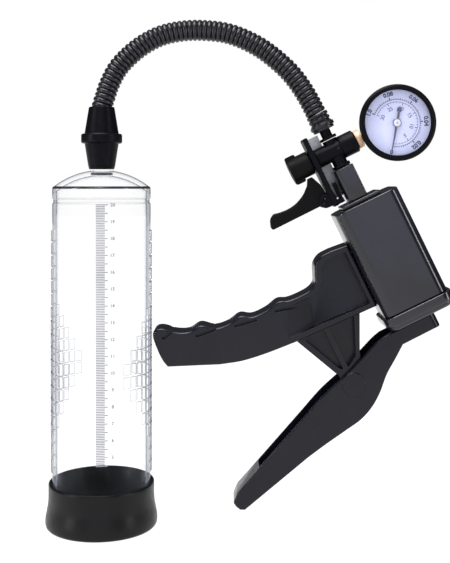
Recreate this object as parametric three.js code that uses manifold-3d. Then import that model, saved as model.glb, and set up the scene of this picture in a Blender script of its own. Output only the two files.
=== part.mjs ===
// Hand vacuum pump: a clear graduated chamber, a corrugated hose and a pistol-grip piston pump
// with a quick-release valve and a vacuum gauge. Millimetres, +Z up, +Y away from the viewer.
// The origin is on the floor, under the middle of the chamber and pump together.
import * as THREE from "three";
import { mergeVertices } from "three/addons/utils/BufferGeometryUtils.js";
import Module from "manifold-3d";

const wasm = await Module();
wasm.setup();

// ---------- driving dimensions ----------
const GAP = 0.3; // clearance between pieces that touch
const RUNNING_GAP = 0.35; // clearance around a turning or sliding pin

const CHAMBER_X = -90.86; // chamber axis
const TUBE_R = 30.4;
const TUBE_WALL = 2.5;
const TUBE_BOTTOM = 3.3;
const TUBE_SHOULDER = 210; // where the dome starts
const DOME_R = 29.2;
const DOME_RISE = 10.3;
const NIPPLE_R = 7.2;
const NIPPLE_TOP = 232.2;
const NIPPLE_BORE_R = 5.4;
const SEAL_POCKET_R = 6.9;
const SEAL_POCKET_TOP = 219;
const SLEEVE_HEIGHT = 27;
const SLEEVE_TOP_R = 32.7;
const SLEEVE_FOOT_R = 34.6;
const SLEEVE_MOUTH_R = 24.5;

const CONE_BOTTOM = 220.9;
const CONE_TOP = 259.6;
const CONE_FLANGE_R = 12.7;
const CONE_WAIST_R = 10.5;

const HOSE_R = 6.5;
const HOSE_SIDES = 10;
const HOSE_STEPS = 30;
// Centre line of the hose from the cone to the pump's cuff, as X and Z from the chamber axis.
const HOSE_ROUTE = [
  [0, 249.8],
  [0, 255.5],
  [0.5, 260.5],
  [2.2, 266],
  [4.6, 273.1],
  [9.9, 283.3],
  [17.7, 291.9],
  [27.3, 299.2],
  [37.9, 304.3],
  [51, 307],
  [64.4, 307.3],
  [79.9, 305.1],
  [97.8, 297.2],
  [113.5, 285],
  [121.2, 276.5],
  [127.9, 266.4],
  [133.76, 255.38],
];

const PUMP_X = 193.4; // foot of the pump's own axis, from the chamber axis
const PUMP_Z = 138.4;
const PUMP_TILT_DEG = 26;
const BODY_WIDTH = 42;
const BODY_DEPTH = 38;
const BODY_HEIGHT = 70;
const BODY_CORNER = 7;
const BODY_WALL = 2.5;
const CAP_HEIGHT = 9;
const CAP_OVERHANG = 1.8;
const ROD_X = 1; // piston axis, midway along the sideways travel of the rod pin
const ROD_R = 3;
const BORE_R = 13.6;
const LINER_R = 15.6;
const LINER_TOP = 65.4;
const PISTON_BOTTOM = 50;
const PISTON_TOP = 60;
const PISTON_R = 12.9;

const OUTLET_X = -2.3; // outlet tower, manifold stem and hose barb
const HEAD_TOP = 72.5;
const TOWER_TOP = 94;
const BARREL_Z = 105.6; // manifold barrel, release knob and gauge adapter
const BARREL_LEFT = -14.6;
const BARREL_RIGHT = 12.2;
const STEM_TOP = 113.2;
const GAUGE_X = 39;
const GAUGE_Z = 104.3;
const GAUGE_R = 23.6;
const DIAL_R = 21.2;
const NEEDLE_TURN_DEG = -100; // the pointer at rest, from the pump's own X axis at zero tilt
const PLATE_LEFT = -18.3;
const PLATE_RIGHT = -15;
const LEVER_PIVOT = [-21.5, 80];

const GRIP_HALF = 11; // half the grip's thickness
const YOKE_HALF = 7.8;
const CHEEK_INSIDE = 8.4; // the trigger's channel straddles the yoke
const TRIGGER_HALF = 11;
const PIVOT = [-55.4, -28];
const PIVOT_PIN_R = 2.5;
const ROD_PIN = [0, -13.5];
const ROD_PIN_R = 2;

const BLACK_PLASTIC = { color: 0x17171b, roughness: 0.28, metalness: 0 };
const BLACK_SATIN = { color: 0x1b1b1f, roughness: 0.5, metalness: 0 };
const BLACK_RUBBER = { color: 0x141416, roughness: 0.75, metalness: 0 };
const CLEAR = { color: 0xf4f8fa, roughness: 0.05, metalness: 0, transparent: true, opacity: 0.3 };
const STEEL = { color: 0xb9bcc0, roughness: 0.3, metalness: 1 };
const BRASS = { color: 0xc79f72, roughness: 0.4, metalness: 1 };
const DIAL_WHITE = { color: 0xc9cdf0, roughness: 0.6, metalness: 0 };

// ---------- solids ----------

// Turns a closed geometry into a solid that can be joined and cut, facing outwards.
function solidOf(geometry) {
  const bare = geometry.index ? geometry.toNonIndexed() : geometry.clone();
  bare.deleteAttribute("normal");
  bare.deleteAttribute("uv");
  const merged = mergeVertices(bare, 1e-4);
  const corners = merged.index.array;
  const kept = [];
  for (let i = 0; i < corners.length; i += 3) {
    const [a, b, c] = corners.subarray(i, i + 3);
    if (a !== b && b !== c && c !== a) kept.push(a, b, c);
  }
  const build = (order) =>
    new wasm.Manifold(
      new wasm.Mesh({
        numProp: 3,
        vertProperties: merged.attributes.position.array,
        triVerts: new Uint32Array(order),
      }),
    );
  const solid = build(kept);
  return solid.volume() < 0 ? build(kept.reverse()) : solid;
}

// A solid of revolution about Z from [radius, height] points.
function turned(profile, sides = 30) {
  const points = profile.map(([r, z]) => new THREE.Vector2(r, z));
  return solidOf(new THREE.LatheGeometry(points, sides).rotateX(Math.PI / 2));
}

// The same about a ring profile that doesn't touch the axis, closed on itself.
function turnedRing(profile, sides = 30) {
  return turned([...profile, profile[0]], sides);
}

// A cylinder along Z, X or Y between two coordinates, centred on the other two.
function rodZ(r, z0, z1, x = 0, y = 0, sides = 24) {
  const g = new THREE.CylinderGeometry(r, r, z1 - z0, sides).rotateX(Math.PI / 2);
  return solidOf(g.translate(x, y, (z0 + z1) / 2));
}

function rodX(r, x0, x1, z = 0, y = 0, sides = 24) {
  const g = new THREE.CylinderGeometry(r, r, x1 - x0, sides).rotateZ(Math.PI / 2);
  return solidOf(g.translate((x0 + x1) / 2, y, z));
}

function rodY(r, y0, y1, [x, z], sides = 24) {
  const g = new THREE.CylinderGeometry(r, r, y1 - y0, sides);
  return solidOf(g.translate(x, (y0 + y1) / 2, z));
}

function block(x0, x1, y0, y1, z0, z1) {
  const g = new THREE.BoxGeometry(x1 - x0, y1 - y0, z1 - z0);
  return solidOf(g.translate((x0 + x1) / 2, (y0 + y1) / 2, (z0 + z1) / 2));
}

function roundedRectangle(width, depth, corner, x = 0, y = 0) {
  const w = width / 2;
  const d = depth / 2;
  const shape = new THREE.Shape();
  shape.absarc(x + w - corner, y - d + corner, corner, -Math.PI / 2, 0);
  shape.absarc(x + w - corner, y + d - corner, corner, 0, Math.PI / 2);
  shape.absarc(x - w + corner, y + d - corner, corner, Math.PI / 2, Math.PI);
  shape.absarc(x - w + corner, y - d + corner, corner, Math.PI, 1.5 * Math.PI);
  shape.closePath();
  return shape;
}

// A plan outline raised between two heights.
function raised(shape, z0, z1, curveSegments = 5) {
  const options = { depth: z1 - z0, bevelEnabled: false, curveSegments };
  return solidOf(new THREE.ExtrudeGeometry(shape, options).translate(0, 0, z0));
}

// A side outline, drawn in X and Z, given a thickness from y0 to y1.
function slab(shape, y0, y1, curveSegments = 4) {
  const options = { depth: y1 - y0, bevelEnabled: false, curveSegments };
  const g = new THREE.ExtrudeGeometry(shape, options).rotateX(Math.PI / 2);
  return solidOf(g.translate(0, y1, 0));
}

function polygon(points) {
  return new THREE.Shape(points.map(([x, z]) => new THREE.Vector2(x, z)));
}

// A slot with round ends, lying along X.
function stadium([x, z], halfLength, r) {
  const shape = new THREE.Shape();
  shape.absarc(x + halfLength, z, r, -Math.PI / 2, Math.PI / 2);
  shape.absarc(x - halfLength, z, r, Math.PI / 2, 1.5 * Math.PI);
  shape.closePath();
  return shape;
}

function circleSection(r, sides) {
  const corner = (i) => (2 * Math.PI * i) / sides;
  const at = (i) => [r * Math.cos(corner(i)), r * Math.sin(corner(i))];
  return polygon(Array.from({ length: sides }, (_, i) => at(i)));
}

function sweptAlong(curve, section, steps) {
  const options = { steps, bevelEnabled: false, extrudePath: curve };
  return solidOf(new THREE.ExtrudeGeometry(section, options));
}

// A helical spring along Z.
function coil(coilR, wireR, z0, z1, turns, stepsPerTurn) {
  const count = turns * stepsPerTurn;
  const points = [];
  for (let i = 0; i <= count; i += 1) {
    const angle = (2 * Math.PI * i) / stepsPerTurn;
    const z = z0 + ((z1 - z0) * i) / count;
    points.push(new THREE.Vector3(coilR * Math.cos(angle), coilR * Math.sin(angle), z));
  }
  const curve = new THREE.CatmullRomCurve3(points);
  return sweptAlong(curve, circleSection(wireR, 6), count);
}

// ---------- chamber ----------

// Points of a shallow spherical dome from its rim in to a radius.
function dome(rimR, baseZ, rise, innerR, count) {
  const sphere = (rimR * rimR + rise * rise) / (2 * rise);
  const height = (r) => baseZ + rise - sphere + Math.sqrt(sphere * sphere - r * r);
  const radius = (i) => rimR + ((innerR - rimR) * i) / count;
  return Array.from({ length: count + 1 }, (_, i) => [radius(i), height(radius(i))]);
}

function chamberTube() {
  const inside = TUBE_R - TUBE_WALL;
  const grooveR = TUBE_R - 0.6;
  const outer = [
    [TUBE_R, TUBE_BOTTOM],
    [TUBE_R, 199.4],
    [grooveR, 200.2],
    [grooveR, 202],
    [TUBE_R, 202.8],
    [TUBE_R, TUBE_SHOULDER - 0.8],
    [DOME_R + 0.4, TUBE_SHOULDER],
    ...dome(DOME_R, TUBE_SHOULDER, DOME_RISE, NIPPLE_R, 8),
    [NIPPLE_R, NIPPLE_TOP - 0.6],
    [NIPPLE_R - 0.6, NIPPLE_TOP],
  ];
  const roof = dome(inside, TUBE_SHOULDER - 2.6, DOME_RISE - 0.6, SEAL_POCKET_R, 7);
  const inner = [
    [NIPPLE_BORE_R, NIPPLE_TOP],
    [NIPPLE_BORE_R, SEAL_POCKET_TOP],
    [SEAL_POCKET_R, SEAL_POCKET_TOP],
    ...roof.reverse(),
    [inside, TUBE_BOTTOM],
  ];
  return turnedRing([...outer, ...inner], 40);
}

function baseSleeve() {
  const seat = TUBE_R + GAP;
  return turnedRing(
    [
      [SLEEVE_MOUTH_R, 1],
      [SLEEVE_MOUTH_R + 1, 0],
      [SLEEVE_TOP_R - 0.4, 0],
      [SLEEVE_FOOT_R - 0.5, 0.9],
      [SLEEVE_FOOT_R, 3],
      [SLEEVE_FOOT_R - 0.2, 6],
      [SLEEVE_TOP_R + 0.6, 12],
      [SLEEVE_TOP_R, 18],
      [SLEEVE_TOP_R, SLEEVE_HEIGHT - 0.8],
      [SLEEVE_TOP_R - 0.6, SLEEVE_HEIGHT],
      [seat, SLEEVE_HEIGHT],
      [seat, TUBE_BOTTOM - GAP],
      [SLEEVE_MOUTH_R, TUBE_BOTTOM - GAP],
    ],
    40,
  );
}

function coneConnector() {
  const nippleSocket = NIPPLE_R + GAP;
  const hoseSocket = HOSE_R + 0.55;
  return turnedRing([
    [nippleSocket, CONE_BOTTOM],
    [nippleSocket + 0.6, CONE_BOTTOM],
    [CONE_WAIST_R, 236.9],
    [CONE_FLANGE_R - 0.4, 237],
    [CONE_FLANGE_R, 237.6],
    [CONE_FLANGE_R, 242.2],
    [CONE_FLANGE_R - 0.4, 242.8],
    [CONE_WAIST_R, 243],
    [7.85, CONE_TOP],
    [hoseSocket + 0.35, CONE_TOP],
    [hoseSocket, 258],
    [hoseSocket, 249],
    [NIPPLE_BORE_R, 248.6],
    [NIPPLE_BORE_R, NIPPLE_TOP + 0.8],
    [nippleSocket, NIPPLE_TOP + 0.6],
  ]);
}

function connectorInsert() {
  const outside = NIPPLE_BORE_R - 0.4;
  return turnedRing(
    [
      [2.4, 222],
      [outside - 0.6, 222],
      [outside, 222.8],
      [outside, 248],
      [2.4, 248],
    ],
    24,
  );
}

function neckSeal() {
  const outside = SEAL_POCKET_R - 0.2;
  return turnedRing(
    [
      [4.2, 217],
      [outside - 0.5, 217],
      [outside, 217.5],
      [outside, 218.3],
      [outside - 0.5, 218.8],
      [4.2, 218.8],
    ],
    30,
  );
}

// ---------- hose ----------

function hose() {
  const points = HOSE_ROUTE.map(([x, z]) => new THREE.Vector3(x, 0, z));
  const curve = new THREE.CatmullRomCurve3(points, false, "centripetal");
  return sweptAlong(curve, circleSection(HOSE_R, HOSE_SIDES), HOSE_STEPS);
}

function hoseBarb() {
  const profile = [
    [2, STEM_TOP + GAP],
    [5.4, STEM_TOP + GAP],
    [5.4, 115.2],
    [3.4, 115.4],
    [3.4, 120],
    [4.1, 120.4],
    [3.3, 123],
    [4.1, 123.4],
    [3.3, 126],
    [2, 127],
  ];
  return turnedRing(profile, 20).translate([OUTLET_X, 0, 0]);
}

function hoseCuff() {
  const profile = [
    [4.5, 119.8],
    [6.5, 119.8],
    [6.9, 120.4],
    [6.9, 121.4],
    [7.75, 121.8],
    [7.75, 123.8],
    [6.9, 124.2],
    [6.9, 131],
    [4.5, 131],
  ];
  return turnedRing(profile, 24).translate([OUTLET_X, 0, 0]);
}

// ---------- pump cylinder ----------

function pumpBody() {
  const inner = BODY_WALL * 2;
  const outside = roundedRectangle(BODY_WIDTH, BODY_DEPTH, BODY_CORNER);
  const inside = roundedRectangle(BODY_WIDTH - inner, BODY_DEPTH - inner, BODY_CORNER - 2);
  return raised(outside, GAP, BODY_HEIGHT)
    .subtract(raised(inside, -1, LINER_TOP + GAP))
    .subtract(rodZ(3, LINER_TOP - 1, BODY_HEIGHT + 1, OUTLET_X));
}

function cylinderLiner() {
  const profile = [
    [BORE_R, 3.6],
    [LINER_R, 3.6],
    [LINER_R, LINER_TOP],
    [2.2, LINER_TOP],
    [2.2, LINER_TOP - 2.6],
    [BORE_R, LINER_TOP - 2.6],
  ];
  return turnedRing(profile, 36).translate([ROD_X, 0, 0]);
}

function piston() {
  const grooveR = 11.2;
  const profile = [
    [0, PISTON_BOTTOM],
    [PISTON_R, PISTON_BOTTOM],
    [PISTON_R, 54],
    [grooveR, 54],
    [grooveR, 57],
    [PISTON_R, 57],
    [PISTON_R, PISTON_TOP - 0.8],
    [PISTON_R - 0.8, PISTON_TOP],
    [0, PISTON_TOP],
  ];
  return turned(profile, 32).translate([ROD_X, 0, 0]);
}

function pistonSeal() {
  const profile = [
    [11.5, 54.4],
    [12.6, 54.4],
    [13.25, 55.5],
    [12.6, 56.6],
    [11.5, 56.6],
  ];
  return turnedRing(profile, 32).translate([ROD_X, 0, 0]);
}

function pistonRod() {
  const centre = [ROD_X, ROD_PIN[1]];
  const eye = slab(stadium(centre, 1, 4.2), -YOKE_HALF, YOKE_HALF, 8);
  const slot = slab(stadium(centre, 1, ROD_PIN_R + RUNNING_GAP), -10, 10, 8);
  return rodZ(ROD_R, ROD_PIN[1] + 3, PISTON_BOTTOM - GAP, ROD_X).add(eye).subtract(slot);
}

function returnSpring() {
  return coil(8, 0.9, 4.8, PISTON_BOTTOM - 1.3, 6, 8).translate([ROD_X, 0, 0]);
}

function baseCap() {
  const over = 2 * CAP_OVERHANG;
  const spigot = 2 * (BODY_WALL + GAP);
  const lip = roundedRectangle(BODY_WIDTH + over, BODY_DEPTH + over, BODY_CORNER + 1);
  const skirt = roundedRectangle(BODY_WIDTH + over - 2, BODY_DEPTH + over - 2, BODY_CORNER);
  const floor = roundedRectangle(BODY_WIDTH - 2, BODY_DEPTH - 2, BODY_CORNER - 1);
  const inner = roundedRectangle(BODY_WIDTH - spigot, BODY_DEPTH - spigot, BODY_CORNER - 2.5);
  return raised(lip, -5.5, 0)
    .add(raised(skirt, -7.6, -5.4))
    .add(raised(floor, -CAP_HEIGHT, -7.5))
    .add(raised(inner, -0.1, 3.2))
    .subtract(rodZ(ROD_R + 0.5, -12, 6, ROD_X));
}

// ---------- pump head ----------

function headPlate() {
  const shape = roundedRectangle(25.8, 24, 2, -1.9);
  return raised(shape, BODY_HEIGHT + GAP, HEAD_TOP, 3)
    .subtract(rodZ(3.6, BODY_HEIGHT, 71.6, OUTLET_X))
    .subtract(rodZ(1.8, 71, HEAD_TOP + 1, OUTLET_X, 0, 16))
    .subtract(rodZ(2.6, BODY_HEIGHT, 71.6, 7.2, 0, 16));
}

function valveDisc(r, x) {
  return rodZ(r, BODY_HEIGHT + 0.6, BODY_HEIGHT + 1.3, x, 0, 20);
}

function outletTower() {
  const half = 8;
  const left = -9.2;
  const right = 3.7;
  const big = 5;
  const small = 1.6;
  const shape = new THREE.Shape();
  shape.absarc(right - small, small - half, small, -Math.PI / 2, 0);
  shape.absarc(right - small, half - small, small, 0, Math.PI / 2);
  shape.absarc(left + big, half - big, big, Math.PI / 2, Math.PI);
  shape.absarc(left + big, big - half, big, Math.PI, 1.5 * Math.PI);
  shape.closePath();
  const bore = rodZ(2.2, 70, 96, OUTLET_X, 0, 16);
  return raised(shape, HEAD_TOP + GAP, TOWER_TOP, 4).subtract(bore);
}

function manifoldBody() {
  return rodZ(4.6, TOWER_TOP + GAP, STEM_TOP, OUTLET_X)
    .add(rodZ(5.8, TOWER_TOP + GAP, 96.4, OUTLET_X))
    .add(rodX(6, BARREL_LEFT, 3, BARREL_Z))
    .add(rodX(7.2, 2, BARREL_RIGHT, BARREL_Z, 0, 32))
    .subtract(rodX(4, BARREL_LEFT - 1, -3.8, BARREL_Z))
    .subtract(rodX(2, -4, 8, BARREL_Z, 0, 16))
    .subtract(rodX(4.4, 5.5, BARREL_RIGHT + 1, BARREL_Z))
    .subtract(rodZ(2, 90, STEM_TOP + 1, OUTLET_X, 0, 16));
}

// ---------- release valve ----------

function releaseKnob() {
  const lug = (side) => {
    const near = BARREL_Z + side * 5;
    const far = BARREL_Z + side * 9.2;
    return block(-33, -26, -3.2, 3.2, Math.min(near, far), Math.max(near, far));
  };
  return rodX(7.6, -33, PLATE_LEFT - 0.4, BARREL_Z, 0, 28)
    .add(lug(1))
    .add(lug(-1))
    .subtract(rodX(1.9, -30.4, -18, BARREL_Z, 0, 16));
}

function valvePlunger() {
  const stem = rodX(1.55, -30, -6.5, BARREL_Z, 0, 16);
  return stem.add(rodX(3.4, -6.6, -5.3, BARREL_Z, 0, 20));
}

function valveSeal() {
  return rodX(3.5, -5, -4.2, BARREL_Z, 0, 20);
}

function valveSpring() {
  const along = coil(2.75, 0.35, 0.6, 7, 4, 10);
  return along.rotate([0, 90, 0]).translate([BARREL_LEFT, 0, BARREL_Z]);
}

function leverBracket() {
  const ear = (y0, y1) =>
    rodY(4.2, y0, y1, LEVER_PIVOT, 20).add(
      block(LEVER_PIVOT[0], PLATE_LEFT + 0.5, y0, y1, LEVER_PIVOT[1] - 4, LEVER_PIVOT[1] + 4),
    );
  return block(PLATE_LEFT, PLATE_RIGHT, -9, 9, 74.6, 120.5)
    .add(block(PLATE_LEFT, -10.4, -6, 6, 74.6, 77.5))
    .add(block(-12.6, -10.4, -3, 3, 77, 88))
    .add(ear(-7.6, -5.6))
    .add(ear(5.6, 7.6))
    .subtract(rodX(2.1, -20, -14, BARREL_Z, 0, 16))
    .subtract(rodY(1.8, -10, 10, LEVER_PIVOT, 16));
}

function retainerPlate() {
  return block(-14.7, -6.8, 8.3, 9.2, 78, 119);
}

function releaseLever() {
  const [hubX, hubZ] = LEVER_PIVOT;
  const shape = new THREE.Shape();
  shape.moveTo(hubX, 77.2);
  shape.absarc(hubX, hubZ, 2.8, -Math.PI / 2, 0);
  shape.lineTo(-19.6, 90.5);
  shape.lineTo(-22.3, 97.2);
  shape.lineTo(-25.1, 97.2);
  shape.lineTo(-27.1, 93.1);
  shape.splineThru([
    new THREE.Vector2(-31.8, 89.2),
    new THREE.Vector2(-37.8, 86.4),
    new THREE.Vector2(-44, 85.4),
    new THREE.Vector2(-50, 85.8),
    new THREE.Vector2(-53.8, 86.4),
    new THREE.Vector2(-57, 84.3),
    new THREE.Vector2(-58.8, 80.1),
  ]);
  shape.lineTo(-58, 78.1);
  shape.lineTo(-25.2, 78.5);
  shape.closePath();
  return slab(shape, -5.2, 5.2, 2).subtract(rodY(1.8, -6, 6, LEVER_PIVOT, 16));
}

// ---------- gauge ----------

// Gauge pieces are turned about their own axis, front up, then stood facing the user.
function faceFront(solid) {
  return solid.rotate([90, 0, 0]).translate([GAUGE_X, 0, GAUGE_Z]);
}

function gaugeAdapter() {
  return rodX(4, 6, 12.6, BARREL_Z)
    .add(rodX(5.9, BARREL_RIGHT + GAP, 16.2, BARREL_Z, 0, 28))
    .add(rodX(3.2, 16.1, 22.2, BARREL_Z))
    .subtract(rodX(1.4, 5, 25, BARREL_Z, 0, 12));
}

function gaugeCase() {
  const cup = turned(
    [
      [0, -9],
      [17, -9],
      [19.4, -6.6],
      [20.6, -3],
      [21.2, 2],
      [21.6, 4.6],
      [22.4, 6],
      [23.2, 7.2],
      [23.2, 9.2],
      [21.8, 9.2],
      [21.8, 6.4],
      [20.4, 5],
      [20, 2],
      [19.4, -2.8],
      [18.2, -6],
      [16.3, -7.6],
      [0, -7.6],
    ],
    32,
  );
  return faceFront(cup).subtract(rodX(3.6, 10, 21.5, BARREL_Z));
}

function gaugeBezel() {
  return faceFront(
    turnedRing(
      [
        [21.7, 9.5],
        [GAUGE_R, 9.5],
        [GAUGE_R, 11.3],
        [22.8, 12.4],
        [21, 12.7],
        [20.1, 12.1],
        [20.1, 11.5],
        [21.7, 11.5],
      ],
      36,
    ),
  );
}

function gaugeLens() {
  return faceFront(rodZ(21.4, 9.9, 11.2, 0, 0, 36));
}

function gaugeDial() {
  return faceFront(rodZ(DIAL_R, 6.6, 7.4, 0, 0, 32).subtract(rodZ(1.4, 6, 8, 0, 0, 12)));
}

function gaugeNeedle() {
  const pointer = polygon([
    [0, 0.75],
    [-7, 0.7],
    [-7, 1.3],
    [-9.6, 1.3],
    [-9.6, -1.3],
    [-7, -1.3],
    [-7, -0.7],
    [0, -0.75],
    [17.6, -0.25],
    [17.6, 0.25],
  ]);
  const flat = raised(pointer, 8, 8.6).add(rodZ(2.3, 7.7, 9.4, 0, 0, 20));
  return faceFront(flat.rotate([0, 0, NEEDLE_TURN_DEG - PUMP_TILT_DEG]));
}

function needleSpindle() {
  const pinion = rodZ(1.9, -0.6, 1.2, 0, 0, 12);
  return faceFront(rodZ(0.8, -4, 7.4, 0, 0, 12).add(pinion));
}

function bourdonTube() {
  const r = 15;
  const curve = new THREE.CatmullRomCurve3(
    Array.from({ length: 13 }, (_, i) => {
      const angle = Math.PI + ((i + 0.6) * 1.45 * Math.PI) / 12;
      return new THREE.Vector3(r * Math.cos(angle), r * Math.sin(angle), -3.5);
    }),
  );
  return faceFront(sweptAlong(curve, circleSection(1.5, 8), 18));
}

// ---------- handles ----------

function gripOutline() {
  const shape = new THREE.Shape();
  shape.moveTo(-BODY_WIDTH / 2 - GAP, 8.8);
  shape.lineTo(-BODY_WIDTH / 2 - GAP, 50.8);
  shape.lineTo(-32.2, 51.9);
  shape.splineThru([
    new THREE.Vector2(-39.6, 51.4),
    new THREE.Vector2(-44.8, 48.1),
    new THREE.Vector2(-49.8, 38),
    new THREE.Vector2(-59, 35.3),
    new THREE.Vector2(-69, 35.9),
    new THREE.Vector2(-74.5, 38),
    new THREE.Vector2(-83, 36.4),
    new THREE.Vector2(-93.1, 36.6),
    new THREE.Vector2(-99.6, 40.2),
    new THREE.Vector2(-108, 39),
    new THREE.Vector2(-116.6, 40.2),
    new THREE.Vector2(-124.2, 45.8),
    new THREE.Vector2(-132, 45.3),
    new THREE.Vector2(-139.3, 48.5),
    new THREE.Vector2(-146.5, 54.6),
    new THREE.Vector2(-152.9, 53.2),
  ]);
  shape.splineThru([
    new THREE.Vector2(-154.6, 43),
    new THREE.Vector2(-154.4, 35.4),
    new THREE.Vector2(-153.4, 31.4),
  ]);
  shape.lineTo(-124, 18.6);
  shape.splineThru([
    new THREE.Vector2(-110.9, 14.6),
    new THREE.Vector2(-96.1, 12.3),
    new THREE.Vector2(-75.7, 10.6),
  ]);
  shape.closePath();
  return shape;
}

// The ribbed yoke that hangs under the grip and carries the pivot.
function yoke() {
  const edge = polygon([
    [-75.9, 11.6],
    [-61.2, -20.5],
    [-61, -30],
    [-50, -30],
    [-43.7, -15.1],
    [-42.8, -11.5],
    [-32.4, 10],
  ]);
  const boss = rodY(6.6, -YOKE_HALF, YOKE_HALF, PIVOT, 24);
  const leftBay = polygon([
    [-70.6, 9],
    [-59.2, -16],
    [-57.2, -18],
    [-57.2, 9],
  ]);
  const rightBay = polygon([
    [-53.9, 9],
    [-53.9, -18],
    [-46.4, -13.4],
    [-36.8, 9],
  ]);
  let solid = slab(edge, -YOKE_HALF, YOKE_HALF);
  for (const bay of [leftBay, rightBay]) {
    solid = solid.subtract(slab(bay, -9, -1.5)).subtract(slab(bay, 1.5, 9));
  }
  return solid.add(boss);
}

function gripFrame() {
  const recess = polygon([
    [-24.6, 12],
    [-24.6, 47.4],
    [-38, 48.2],
    [-42.2, 45],
    [-46, 36.5],
    [-56, 31.8],
    [-63, 31.4],
    [-68, 13.6],
  ]);
  const pivotHole = rodY(PIVOT_PIN_R + RUNNING_GAP, -12, 12, PIVOT, 20);
  return slab(gripOutline(), -GRIP_HALF, GRIP_HALF, 2)
    .subtract(slab(recess, -12, -3.5))
    .subtract(slab(recess, 3.5, 12))
    .add(yoke())
    .subtract(pivotHole);
}

function triggerOutline() {
  const shape = new THREE.Shape();
  shape.moveTo(8.5, -10.6);
  shape.lineTo(8.5, -18.2);
  shape.lineTo(7.7, -19);
  shape.lineTo(-17.6, -19.4);
  shape.splineThru([
    new THREE.Vector2(-25.4, -25.1),
    new THREE.Vector2(-34.6, -31.6),
    new THREE.Vector2(-43.1, -39.7),
    new THREE.Vector2(-51.5, -45.6),
    new THREE.Vector2(-60.5, -49.4),
    new THREE.Vector2(-72.5, -51.5),
  ]);
  shape.lineTo(-100.1, -56.2);
  shape.lineTo(-149.7, -68.3);
  shape.lineTo(-152.4, -66.4);
  shape.lineTo(-153.8, -61.3);
  shape.lineTo(-148.6, -56.7);
  shape.lineTo(-93, -33.5);
  shape.splineThru([
    new THREE.Vector2(-75.2, -26.1),
    new THREE.Vector2(-59, -21.3),
    new THREE.Vector2(-43.5, -15.8),
    new THREE.Vector2(-31.3, -11.2),
    new THREE.Vector2(-25.6, -9.8),
  ]);
  shape.lineTo(7.7, -9.8);
  shape.closePath();
  return shape;
}

function trigger() {
  const channel = polygon([
    [-11.5, -5],
    [-11.5, -16.3],
    [-18.9, -16.6],
    [-27.2, -22.7],
    [-36.6, -29.3],
    [-44.9, -37],
    [-52.9, -42.6],
    [-61.2, -46.2],
    [-73, -48.3],
    [-100.8, -53],
    [-128, -59.6],
    [-131, -44],
    [-60, -14],
    [-43, -8],
  ]);
  const headWindow = block(-11.6, 6.8, -CHEEK_INSIDE, CHEEK_INSIDE, -21, -8);
  const bosses = rodY(7.3, -TRIGGER_HALF - 0.7, TRIGGER_HALF + 0.7, PIVOT, 28);
  return slab(triggerOutline(), -TRIGGER_HALF, TRIGGER_HALF, 2)
    .add(bosses)
    .subtract(slab(channel, -CHEEK_INSIDE, CHEEK_INSIDE))
    .subtract(headWindow)
    .subtract(rodY(PIVOT_PIN_R + GAP, -11.2, 13, PIVOT, 20))
    .subtract(rodY(ROD_PIN_R + GAP, -10.3, 12, ROD_PIN, 16));
}

function pivotPin() {
  return rodY(PIVOT_PIN_R, -10.9, 11.7, PIVOT, 20);
}

function rodPin() {
  return rodY(ROD_PIN_R, -10, 10.9, ROD_PIN, 16);
}

// ---------- assembly ----------

function geometryOf(solid) {
  const { vertProperties, triVerts } = solid.getMesh();
  const geometry = new THREE.BufferGeometry();
  geometry.setAttribute("position", new THREE.BufferAttribute(vertProperties, 3));
  geometry.setIndex(new THREE.BufferAttribute(triVerts, 1));
  geometry.computeVertexNormals();
  return geometry;
}

function place(group, name, solid, look) {
  const mesh = new THREE.Mesh(geometryOf(solid), new THREE.MeshStandardMaterial(look));
  mesh.name = name;
  group.add(mesh);
}

function chamberSide() {
  const group = new THREE.Group();
  group.position.x = CHAMBER_X;
  place(group, "chamber_tube", chamberTube(), CLEAR);
  place(group, "base_sleeve", baseSleeve(), BLACK_RUBBER);
  place(group, "cone_connector", coneConnector(), BLACK_RUBBER);
  place(group, "connector_insert", connectorInsert(), BLACK_SATIN);
  place(group, "neck_seal", neckSeal(), BLACK_RUBBER);
  place(group, "hose", hose(), BLACK_RUBBER);
  return group;
}

function addCylinderPieces(group) {
  place(group, "pump_body", pumpBody(), BLACK_PLASTIC);
  place(group, "cylinder_liner", cylinderLiner(), BLACK_SATIN);
  place(group, "piston", piston(), BLACK_SATIN);
  place(group, "piston_seal", pistonSeal(), BLACK_RUBBER);
  place(group, "piston_rod", pistonRod(), STEEL);
  place(group, "return_spring", returnSpring(), STEEL);
  place(group, "base_cap", baseCap(), BLACK_PLASTIC);
}

function addHeadPieces(group) {
  place(group, "head_plate", headPlate(), BLACK_PLASTIC);
  place(group, "inlet_valve", valveDisc(3.2, OUTLET_X), BLACK_RUBBER);
  place(group, "exhaust_valve", valveDisc(2.2, 7.2), BLACK_RUBBER);
  place(group, "outlet_tower", outletTower(), BLACK_PLASTIC);
  place(group, "manifold_body", manifoldBody(), BLACK_SATIN);
  place(group, "hose_barb", hoseBarb(), BLACK_SATIN);
  place(group, "hose_cuff", hoseCuff(), BLACK_RUBBER);
}

function addReleaseValve(group) {
  place(group, "release_knob", releaseKnob(), BLACK_SATIN);
  place(group, "valve_plunger", valvePlunger(), STEEL);
  place(group, "valve_seal", valveSeal(), BLACK_RUBBER);
  place(group, "valve_spring", valveSpring(), STEEL);
  place(group, "lever_bracket", leverBracket(), BLACK_SATIN);
  place(group, "retainer_plate", retainerPlate(), STEEL);
  place(group, "release_lever", releaseLever(), BLACK_SATIN);
  place(group, "lever_pin", rodY(1.5, -7.5, 7.5, LEVER_PIVOT, 16), STEEL);
}

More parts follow.
